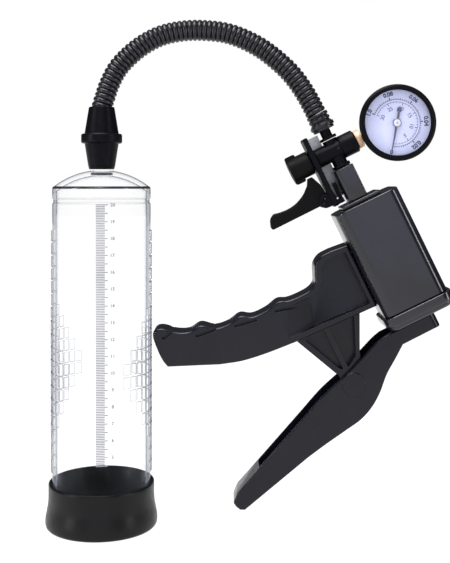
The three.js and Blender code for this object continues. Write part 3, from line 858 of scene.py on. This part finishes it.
LINE_START, LONG_LINE, SHORT_LINE, HALF_LINE = 0.3, 7.4, 5.7, 0.3
scale_print = Print()
for millimetre in range(45, 201):
    tick = LONG_LINE if millimetre % 5 == 0 else SHORT_LINE
    level = millimetre - SCALE_DROP
    scale_print.add(*printed_bar(LINE_START, tick, level - HALF_LINE, level + HALF_LINE))
piece(scale_print.made(), "scale_lines", CHAMBER, ink_light, "chamber")

NUMERAL_X, NUMERAL_HEIGHT, NUMERAL_BOLD = 10.4, 2.1, 0.02
numerals = Print()
for centimetre in range(5, 21):
    verts, faces = lettering(str(centimetre), NUMERAL_HEIGHT, NUMERAL_BOLD)
    for v in range(len(verts)):
        x, z, out = verts[v]
        level = z + 10.0 * centimetre - SCALE_DROP
        verts[v] = wrapped((x + NUMERAL_X, out + PRINT_THICK / 2, level))
    numerals.add(verts, faces)
piece(numerals.made(), "scale_numerals", CHAMBER, ink_grey, "chamber")

# ---------- pump cylinder ----------
body_outline = rounded_rectangle(42, 38, 7, steps=12)
body_inside = rounded_rectangle(37, 33, 5)
pump_body = loft(
    body_outline,
    [(0.4, 0.3), (0, 0.7), (0, 68.9), (0.12, 69.45), (0.45, 69.85), (1.0, 70)],
)
pump_body = cut(
    pump_body,
    prism(body_inside, -1, 65.7),
    rod(3, 64, 71, "z", (OUTLET_X, 0)),
)
piece(pump_body, "pump_body_shown", PUMP, gloss_black, "pump", ["pump_body"])

cap_outline = rounded_rectangle(45.6, 41.6, 8, steps=12)
base_cap = loft(
    cap_outline,
    [
        (0.9, 0.0),
        (0.35, -0.12),
        (0.08, -0.4),
        (0, -0.9),
        (0, -4.7),
        (0.15, -5.3),
        (0.6, -5.75),
        (1.1, -6.0),
        (1.2, -6.9),
        (1.6, -7.8),
        (2.4, -8.5),
        (3.6, -8.9),
        (4.6, -9.0),
    ],
)
spigot = prism(rounded_rectangle(36.4, 32.4, 4.5), -0.5, 3.2)
base_cap = cut(joined(base_cap, spigot), rod(3.5, -12, 6, "z", (1, 0)))
piece(base_cap, "base_cap_shown", PUMP, gloss_black, "pump", ["base_cap"])


def spring(coil_r, wire_r, low, high, turns, steps=24, sides=8):
    """A coil spring along Z with capped wire ends."""
    count = turns * steps
    line = []
    for i in range(count + 1):
        a = 2 * math.pi * i / steps
        line.append(
            Vector((coil_r * math.cos(a), coil_r * math.sin(a), low + (high - low) * i / count))
        )
    verts, faces = [], []
    for i, at in enumerate(line):
        out = Vector((at.x, at.y, 0)).normalized()
        for k in range(sides):
            a = 2 * math.pi * k / sides
            verts.append(at + out * (wire_r * math.cos(a)) + Vector((0, 0, wire_r * math.sin(a))))
        if i:
            for k in range(sides):
                j = (k + 1) % sides
                b, t = (i - 1) * sides, i * sides
                faces.append((b + k, b + j, t + j, t + k))
    faces.append(tuple(range(sides))[::-1])
    faces.append(tuple(range(len(verts) - sides, len(verts))))
    return solid(verts, faces)


return_spring = spring(8, 0.9, 4.8, 48.7, 8)
PISTON_LINE = PUMP @ Matrix.Translation((1, 0, 0))
piece(return_spring, "return_spring_shown", PISTON_LINE, steel, "pump", ["return_spring"])
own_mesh(return_spring)

# ---------- pump head ----------
head_outline = rounded_rectangle(25.8, 24, 2, -1.9, 0, 6)
head_plate = cut(
    prism(head_outline, 70.3, 72.5, "z", 0.6),
    rod(3.6, 69, 71.6, "z", (OUTLET_X, 0)),
    rod(1.8, 71, 74, "z", (OUTLET_X, 0)),
    rod(2.6, 69, 71.6, "z", (7.2, 0)),
)
piece(head_plate, "head_plate_shown", PUMP, gloss_black, "pump", ["head_plate"])

TOWER_CORNERS = [(3.7, -8, 1.6), (3.7, 8, 1.6), (-9.2, 8, 4.6), (-9.2, -8, 4.6)]
tower = cut(
    prism(filleted(TOWER_CORNERS, 1.6, 10), 72.8, 94, "z", 0.5),
    rod(2.2, 70, 96, "z", (OUTLET_X, 0)),
)
piece(tower, "outlet_tower_shown", PUMP, gloss_black, "pump", ["outlet_tower"])

manifold = joined(
    rod(4.6, 94.3, 113.2, "z", (OUTLET_X, 0), 0.4),
    rod(5.8, 94.31, 96.4, "z", (OUTLET_X, 0), 0.5),
    rod(6, -14.6, 3, "x", (0, BARREL_Z), 0.5),
    rod(6.5, -1.5, 1.2, "x", (0, BARREL_Z), 0.3, 6),
    rod(7.2, 2, 12.2, "x", (0, BARREL_Z), 0.6, 64),
)
manifold = cut(
    manifold,
    rod(4, -15.6, -3.8, "x", (0, BARREL_Z)),
    rod(2, -4, 8, "x", (0, BARREL_Z)),
    rod(4.4, 5.5, 13.2, "x", (0, BARREL_Z)),
    rod(2, 90, 115, "z", (OUTLET_X, 0)),
)
piece(manifold, "manifold_body_shown", PUMP, satin_black, "pump", ["manifold_body"])

barb_profile = [
    (2, 113.5),
    (5.2, 113.5),
    (5.4, 113.8),
    (5.4, 115.0),
    (5.1, 115.3),
    (3.4, 115.4),
    (3.4, 119.8),
    (4.1, 120.4),
    (3.3, 123),
    (4.1, 123.4),
    (3.3, 126),
    (2, 127),
]
barb = lathe(barb_profile, 48)
piece(barb, "hose_barb_shown", OUTLET, satin_black, "pump", ["hose_barb"])

# ---------- release valve ----------
LUG = [(-32.8, 5.2), (-26.2, 5.2), (-26.2, 9.2, 1.3), (-32.8, 9.2, 1.6)]
knob = rod(7.6, -33, -18.7, "x", (0, BARREL_Z), 0.9, 64)
for side in (1, -1):
    lug = filleted([(x, BARREL_Z + side * z, *r) for x, z, *r in LUG], 0)
    knob = joined(knob, prism(lug, -3.2, 3.2, "y"))
knob = cut(
    knob,
    rod(1.9, -30.4, -18, "x", (0, BARREL_Z)),
)
piece(
    knob, "release_knob_shown", PUMP,
    matte_black, "release_valve", ["release_knob"],
)

valve_spring = turned(spring(2.75, 0.35, 0.6, 7, 5), "x", -14.6, 0, BARREL_Z)
piece(valve_spring, "valve_spring_shown", PUMP, steel, "pump", ["valve_spring"])
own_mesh(valve_spring)

LEVER_PIVOT = (-21.5, 80)
PLATE_LEFT, PLATE_RIGHT = -18.3, -15
plate = prism(
    filleted(
        [(PLATE_LEFT, 74.6, 0.5), (PLATE_RIGHT, 74.6, 0.5), (PLATE_RIGHT, 120.5, 0.9)]
        + [(PLATE_LEFT, 120.5, 1.5)],
        1,
    ),
    -9,
    9,
    "y",
    0.7,
)
bracket = joined(
    plate,
    block(PLATE_LEFT + 0.4, -10.4, -6, 6, 74.75, 77.5, 0.4),
    block(-12.6, -10.4, -3, 3, 77, 88, 0.3),
    prism(stadium((-20, 80), 1.5, 4.2), -7.6, -5.6, "y", 0.4),
    prism(stadium((-20, 80), 1.5, 4.2), 5.6, 7.6, "y", 0.4),
)
bracket = cut(
    bracket,
    rod(2.1, -20, -14, "x", (0, BARREL_Z)),
    rod(1.8, -10, 10, "y", LEVER_PIVOT),
)
piece(bracket, "lever_bracket_shown", PUMP, satin_black, "pump", ["lever_bracket"])

lever_back = through(
    [
        (-27.1, 93.1),
        (-31.8, 89.2),
        (-37.8, 86.4),
        (-44, 85.4),
        (-50, 85.8),
        (-53.8, 86.4),
        (-57, 84.3),
        (-58.8, 80.1),
    ],
    6,
)
hub = [
    (
        LEVER_PIVOT[0] + 2.8 * math.cos(math.radians(a)),
        LEVER_PIVOT[1] + 2.8 * math.sin(math.radians(a)),
    )
    for a in range(-90, 1, 15)
]
lever_outline = [*hub, (-19.6, 90.5), (-22.3, 97.0), (-24.9, 97.0), *lever_back]
lever_outline += [(-58.6, 78.6), (-57.8, 78.15), (-25.2, 78.5)]
lever = cut(prism(lever_outline, -5.2, 5.2, "y", 0.7), rod(1.8, -6, 6, "y", LEVER_PIVOT))
piece(
    lever, "release_lever_shown", PUMP,
    matte_black, "release_lever", ["release_lever"],
)

# ---------- gauge ----------
adapter = joined(
    turned(rod(4, 6, 12.6, "z", (0, 0), 0.2), "x", 0, 0, BARREL_Z),
    rod(5.9, 12.5, 16.2, "x", (0, BARREL_Z), 0.5, 64),
    rod(3.2, 16.1, 22.2, "x", (0, BARREL_Z), 0.2),
)
adapter = cut(adapter, rod(1.4, 5, 25, "x", (0, BARREL_Z)))
piece(adapter, "gauge_adapter_shown", PUMP, brass, "pump", ["gauge_adapter"])

case_profile = [
    (0, -9),
    (16.6, -9),
    (17.8, -8.4),
    (19.4, -6.6),
    (20.6, -3),
    (21.2, 2),
    (21.6, 4.6),
    (22.4, 6),
    (23.0, 7.0),
    (23.2, 7.6),
    (23.2, 9.0),
    (23.0, 9.2),
    (21.8, 9.2),
    (21.8, 6.4),
    (20.4, 5),
    (20, 2),
    (19.4, -2.8),
    (18.2, -6),
    (16.3, -7.6),
    (0, -7.6),
]
case_place = Matrix.Translation((GAUGE_X, 0, GAUGE_Z)) @ STAND_UP
case = lathe(case_profile, 96)
case.data.transform(case_place)
case = cut(case, rod(3.6, 10, 21.5, "x", (0, BARREL_Z)))
piece(case, "gauge_case_shown", PUMP, satin_black, "pump", ["gauge_case"])

bezel_profile = [
    (21.7, 9.5),
    (23.3, 9.5),
    (23.6, 9.9),
    (23.6, 11.0),
    (23.45, 11.6),
    (23.0, 12.1),
    (22.3, 12.5),
    (21.6, 12.7),
    (21.0, 12.65),
    (20.4, 12.4),
    (20.15, 12.0),
    (20.1, 11.5),
    (21.7, 11.5),
]
bezel = lathe(bezel_profile, 128)
piece(bezel, "gauge_bezel_shown", GAUGE, satin_black, "pump", ["gauge_bezel"])
lens = lathe([(0, 9.9), (21.2, 9.9), (21.4, 10.1), (21.4, 11.0), (21.2, 11.2), (0, 11.2)], 96)
piece(lens, "gauge_lens_shown", GAUGE, lens_clear, "pump", ["gauge_lens"])
dial_profile = [(1.4, 6.6), (21.1, 6.6), (21.2, 6.7), (21.2, 7.4), (1.4, 7.4)]
dial = lathe(dial_profile, 96)
piece(dial, "gauge_dial_shown", GAUGE, dial_paint, "pump", ["gauge_dial"])

DIAL_TOP = 7.4
ZERO_DEG = -126.0  # the zero mark from the pump's own X axis
SWEEP_DEG = 259.0


def dial_angle(share):
    """The direction of a share of full scale, in the gauge's own plane."""
    return math.radians(ZERO_DEG + SWEEP_DEG * share)


def flat_bar(a, b, width, low=0.0, high=0.05):
    """A thin printed line on the dial from point a to point b."""
    a, b = Vector(a), Vector(b)
    side = (b - a).normalized().orthogonal() * (width / 2)
    corners = [a - side, b - side, b + side, a + side]
    verts = [(p.x, p.y, z) for z in (DIAL_TOP + low, DIAL_TOP + high) for p in corners]
    faces = [(3, 2, 1, 0), (4, 5, 6, 7)]
    faces += [(i, (i + 1) % 4, (i + 1) % 4 + 4, i + 4) for i in range(4)]
    return verts, faces


def at_radius(r, angle):
    return (r * math.cos(angle), r * math.sin(angle))


def dial_arc(target, r, width, share_from, share_to, steps):
    """A closed ribbon of ink along an arc."""
    verts, faces = [], []
    for k in range(steps + 1):
        a = dial_angle(share_from + (share_to - share_from) * k / steps)
        for out, z in ((-1, 0.0), (1, 0.0), (1, 0.05), (-1, 0.05)):
            x, y = at_radius(r + out * width / 2, a)
            verts.append((x, y, DIAL_TOP + z))
        if k:
            b, t = 4 * (k - 1), 4 * k
            faces += [(b + i, b + (i + 1) % 4, t + (i + 1) % 4, t + i) for i in range(4)]
    faces += [(3, 2, 1, 0), tuple(range(len(verts) - 4, len(verts)))]
    target.add(verts, faces)


def dial_text(target, text, height, r, share, bold=0.0):
    a = dial_angle(share)
    turn = Matrix.Rotation(a - math.pi / 2, 4, "Z")
    x, y = at_radius(r, a)
    place = Matrix.Translation((x, y, DIAL_TOP + 0.03)) @ turn
    verts, faces = lettering(text, height, bold)
    target.add(verts, faces, lambda v: tuple(place @ Vector(v)))


rings = Print()
dial_arc(rings, 14.4, 0.26, 0.0, 1.0, 96)
dial_arc(rings, 13.0, 0.22, 0.0, 1.0, 96)
for k in range(51):
    major, medium = k % 10 == 0, k % 5 == 0
    a = dial_angle(k / 50)
    reach = 16.2 if major else 15.5 if medium else 15.2
    width = 0.7 if major else 0.42
    rings.add(*flat_bar(at_radius(14.4, a), at_radius(reach, a), width))
for k in range(31):
    a = dial_angle(k / 30)
    reach = 11.4 if k % 5 == 0 else 12.2
    width = 0.42 if k % 5 == 0 else 0.24
    rings.add(*flat_bar(at_radius(13.0, a), at_radius(reach, a), width, 0.001, 0.051))
piece(rings.made(), "dial_ticks", GAUGE, ink_navy, "pump")

outer_numbers = Print()
for k, text in enumerate(["0", "0.02", "0.04", "0.06", "0.08", "1.0"]):
    dial_text(outer_numbers, text, 2.9, 18.2, k / 5, 0.05)
piece(outer_numbers.made(), "dial_numbers", GAUGE, ink_navy, "pump")
inner_numbers = Print()
for k in range(1, 7):
    dial_text(inner_numbers, str(5 * k), 2.5, 9.3, k / 6, 0.03)
piece(inner_numbers.made(), "dial_inner_numbers", GAUGE, ink_faded, "pump")

POINTER = [(0, 0.75), (-7.2, 0.62), (-7.2, -0.62), (0, -0.75), (17.6, -0.26), (17.6, 0.26)]
needle = prism(POINTER, 8.0, 8.6, "z", 0.1, 2)
tail = prism(filleted([(-9.6, -1.3), (-7.0, -1.3), (-7.0, 1.3), (-9.6, 1.3)], 0.3), 7.95, 8.7)
needle = joined(needle, tail)
NEEDLE = GAUGE @ Matrix.Rotation(dial_angle(0), 4, "Z")
piece(needle, "gauge_needle_shown", NEEDLE, needle_dark, "needle", ["gauge_needle"])


def hub_look(middle):
    r = math.hypot(middle.x, middle.y)
    if r < 0.75:
        return 2
    return 1 if r < 2.1 and middle.z > 8.9 else 0


hub_profile = [(0, 7.75), (2.5, 7.75), (2.7, 7.95), (2.7, 9.0), (2.5, 9.2), (2.1, 9.2)]
hub_profile += [(2.0, 9.3), (0.7, 9.35), (0.7, 9.45), (0, 9.45)]
needle_hub = lathe(hub_profile, 48)
HUB_LOOKS = [needle_tail, hub_white, steel]
paint(piece(needle_hub, "needle_hub", NEEDLE, HUB_LOOKS, "needle"), hub_look, NEEDLE)

# ---------- grip ----------
GRIP_HALF = 11
grip_top = through(
    [
        (-32.2, 51.9),
        (-39.6, 51.4),
        (-44.8, 48.1),
        (-47.6, 42.6),
        (-49.8, 38),
        (-53.6, 35.9),
        (-59, 35.3),
        (-69, 35.9),
        (-74.5, 38),
        (-83, 36.4),
        (-93.1, 36.6),
        (-99.6, 40.2),
        (-108, 39),
        (-116.6, 40.2),
        (-124.2, 45.8),
        (-132, 45.3),
        (-139.3, 48.5),
        (-146.5, 54.6),
        (-150.6, 55.3),
        (-153.1, 53.0),
        (-154.6, 43),
        (-154.4, 35.4),
        (-153.4, 31.4),
    ],
    6,
)
grip_bottom = through([(-124, 18.6), (-110.9, 14.6), (-96.1, 12.3), (-75.7, 10.6)], 6)
grip_outline = [(-21.3, 8.8), (-21.3, 50.8), *grip_top, *grip_bottom]
grip = prism(grip_outline, -GRIP_HALF, GRIP_HALF, "y", 1.9, 5)


def recess(side):
    """One side's hollow between the handle and the cylinder, with a sloping far wall."""
    deep = [
        (-24.6, 12),
        (-24.6, 47.4),
        (-37.2, 47.9, 3),
        (-42.0, 44.6, 4),
        (-46, 36.5, 3),
        (-52.5, 32.4, 3),
        (-57.5, 31.0, 2),
        (-62.0, 14.0, 2),
    ]
    wide = list(deep)
    wide[-2] = (-73.5, 31.8, 2)
    wide[-1] = (-81.5, 14.8, 2)
    rings = [(filleted(deep, 1.2), side * 3.5), (filleted(wide, 1.2), side * 12)]
    return ruled(rings if side > 0 else rings[::-1], "y")


EDGE = [(-75.9, 11.6), (-61.2, -20.5), (-61, -30), (-50, -30), (-43.7, -15.1), (-42.8, -11.5)]
EDGE.append((-32.4, 10))
LEFT_BAY = [(-70.6, 9), (-59.2, -16), (-57.2, -18), (-57.2, 9)]
RIGHT_BAY = [(-53.9, 9), (-53.9, -18), (-46.4, -13.4), (-36.8, 9)]
PIVOT = (-55.4, -28)
YOKE_HALF = 7.8
yoke = prism(filleted(EDGE, 0.8), -YOKE_HALF, YOKE_HALF, "y", 0.6)
bays = []
for bay in (LEFT_BAY, RIGHT_BAY):
    outline = filleted(bay, 0.8)
    bays += [prism(outline, -9, -1.5, "y"), prism(outline, 1.5, 9, "y")]
yoke = joined(cut(yoke, *bays), rod(6.6, -YOKE_HALF, YOKE_HALF, "y", PIVOT, 0.5))
grooves = []
GROOVES = [
    ((-72.2, 31.7), 6.6, -14),
    ((-98.6, 34.9), 6.2, -10),
    ((-123.0, 40.2), 5.6, -6),
    ((-144.6, 49.4), 3.4, 14),
]
for centre, half_length, lean in GROOVES:
    outline = stadium(centre, half_length, 1.0, lean)
    grooves += [prism(outline, -12, -7.6, "y"), prism(outline, 7.6, 12, "y")]
grip = cut(grip, recess(-1), recess(1), *grooves)
grip = joined(grip, yoke)
grip = cut(grip, rod(2.85, -12, 12, "y", PIVOT, 0, 32))
piece(grip, "grip_frame_shown", PUMP, grip_black, "pump", ["grip_frame"])

# ---------- trigger ----------
TRIGGER_HALF = 11
CHEEK_INSIDE = 8.4
trigger_low = through(
    [
        (-17.6, -19.4),
        (-25.4, -25.1),
        (-34.6, -31.6),
        (-43.1, -39.7),
        (-51.5, -45.6),
        (-60.5, -49.4),
        (-72.5, -51.5),
        (-86, -53.6),
        (-100.1, -56.2),
    ],
    5,
)
trigger_high = through(
    [
        (-93, -33.5),
        (-75.2, -26.1),
        (-59, -21.3),
        (-43.5, -15.8),
        (-31.3, -11.2),
        (-25.6, -9.8),
    ],
    5,
)
trigger_outline = [(8.5, -10.6), (8.5, -18.2), (7.7, -19), *trigger_low, (-149.2, -68.1)]
trigger_outline += [(-151.9, -66.7), (-153.2, -63.9), (-153.6, -61.4), (-152.4, -60.0)]
trigger_outline += [(-148.6, -56.7), *trigger_high, (7.7, -9.8)]
channel = [
    (-11.5, -5),
    (-11.5, -16.3),
    (-18.9, -16.6),
    (-27.2, -22.7),
    (-36.6, -29.3),
    (-44.9, -37),
    (-52.9, -42.6),
    (-61.2, -46.2),
    (-73, -48.3),
    (-100.8, -53),
    (-128, -59.6),
    (-131, -44),
    (-60, -14),
    (-43, -8),
]
trigger = prism(trigger_outline, -TRIGGER_HALF, TRIGGER_HALF, "y", 1.0, 4)
boss = rod(7.3, -TRIGGER_HALF - 0.7, TRIGGER_HALF + 0.7, "y", PIVOT, 0.65, 64)
head_plan = filleted(
    [(-170, -12.5), (-14, -12.5), (-12, -11), (8.5, -11, 5.5), (8.5, 11, 5.5), (-12, 11)]
    + [(-14, 12.5), (-170, 12.5)],
    0,
    8,
)
trigger = combined(joined(trigger, boss), [prism(head_plan, -90, 10)], "INTERSECT")
trigger = cut(
    trigger,
    prism(channel, -CHEEK_INSIDE, CHEEK_INSIDE, "y"),
    block(-11.6, 6.8, -CHEEK_INSIDE, CHEEK_INSIDE, -21, -8),
    rod(2.8, -11.2, 13, "y", PIVOT, 0, 32),
    rod(2.3, -10.3, 12, "y", (0, -13.5), 0, 32),
)
piece(trigger, "trigger_shown", PUMP, grip_black, "trigger", ["trigger"])

# ---------- the CAD pieces that show as they are ----------
LOOKS = {
    "connector_insert": satin_black,
    "neck_seal": sleeve_rubber,
    "cylinder_liner": satin_black,
    "piston": satin_black,
    "piston_seal": sleeve_rubber,
    "piston_rod": steel,
    "inlet_valve": sleeve_rubber,
    "exhaust_valve": sleeve_rubber,
    "valve_plunger": steel,
    "valve_seal": sleeve_rubber,
    "retainer_plate": zinc,
    "lever_pin": satin_black,
    "needle_spindle": steel,
    "bourdon_tube": brass,
    "pivot_pin": steel,
    "rod_pin": steel,
}
for name, material in LOOKS.items():
    mesh = nodes[name].data
    mesh.materials.clear()
    mesh.materials.append(material)

# ---------- floor, light and air ----------


def studio_floor():
    mesh = bpy.data.meshes.new("floor")
    reach = 6.0
    corners = [(-reach, -reach), (reach, -reach), (reach, reach), (-reach, reach)]
    mesh.from_pydata([(x, y, -0.0002) for x, y in corners], [], [(0, 1, 2, 3)])
    floor = bpy.data.objects.new("floor", mesh)
    scene.collection.objects.link(floor)
    material = bpy.data.materials.new("floor_white")
    material.use_nodes = True
    tree = material.node_tree
    values = tree.nodes["Principled BSDF"]
    shaded(values, Roughness=0.9, Specular_IOR_Level=0.0)
    tone = ranged(tree, noise(tree, 3, 2), 0.3, 0.7, 0, 1)
    shade = mixed(tree, tone, (0.16, 0.16, 0.16), (0.17, 0.17, 0.17))
    link(tree, shade, values.inputs["Base Color"])
    values.inputs["Emission Color"].default_value = (1, 1, 1, 1)
    values.inputs["Emission Strength"].default_value = 1.0
    mesh.materials.append(material)


def studio_air():
    """White behind the object; for its gloss, brighter ahead of it and above."""
    world = bpy.data.worlds.new("air")
    scene.world = world
    world.use_nodes = True
    tree = world.node_tree
    tree.nodes.clear()
    coordinates = new_node(tree, "ShaderNodeTexCoord")
    parts = new_node(tree, "ShaderNodeSeparateXYZ")
    link(tree, coordinates.outputs["Generated"], parts.inputs[0])
    ahead = ranged(tree, parts.outputs["Y"], -0.8, -0.95, 0.0, 1.35)
    above = ranged(tree, parts.outputs["Z"], 0.3, 0.95, 0.0, 0.45)
    total = new_node(tree, "ShaderNodeMath", operation="ADD")
    link(tree, ahead, total.inputs[0])
    link(tree, above, total.inputs[1])
    base = new_node(tree, "ShaderNodeMath", operation="ADD")
    link(tree, total.outputs[0], base.inputs[0])
    base.inputs[1].default_value = 0.06
    soft = new_node(tree, "ShaderNodeBackground")
    soft.inputs["Color"].default_value = (0.84, 0.86, 1.0, 1)
    link(tree, base.outputs[0], soft.inputs["Strength"])
    white = new_node(tree, "ShaderNodeBackground")
    white.inputs["Color"].default_value = (1, 1, 1, 1)
    path = new_node(tree, "ShaderNodeLightPath")
    mix = new_node(tree, "ShaderNodeMixShader")
    link(tree, path.outputs["Is Camera Ray"], mix.inputs[0])
    link(tree, soft.outputs[0], mix.inputs[1])
    link(tree, white.outputs[0], mix.inputs[2])
    out = new_node(tree, "ShaderNodeOutputWorld")
    link(tree, mix.outputs[0], out.inputs["Surface"])


def softbox(name, location, target, width, height, watts):
    data = bpy.data.lights.new(name, "AREA")
    data.shape = "RECTANGLE"
    data.size = width
    data.size_y = height
    data.energy = watts
    lamp = bpy.data.objects.new(name, data)
    scene.collection.objects.link(lamp)
    lamp.location = location
    aim = Vector(target) - Vector(location)
    lamp.rotation_euler = aim.to_track_quat("-Z", "Y").to_euler()


studio_floor()
studio_air()
MIDDLE = (0, 0, 0.16)
softbox("left_strip", (-0.95, -0.5, 0.3), MIDDLE, 0.16, 0.9, 5.0)
softbox("right_strip", (0.95, -0.45, 0.35), MIDDLE, 0.16, 0.9, 4.0)
softbox("top_box", (-0.2, -0.25, 1.1), MIDDLE, 0.8, 0.6, 14.0)
scene.view_settings.view_transform = "Standard"
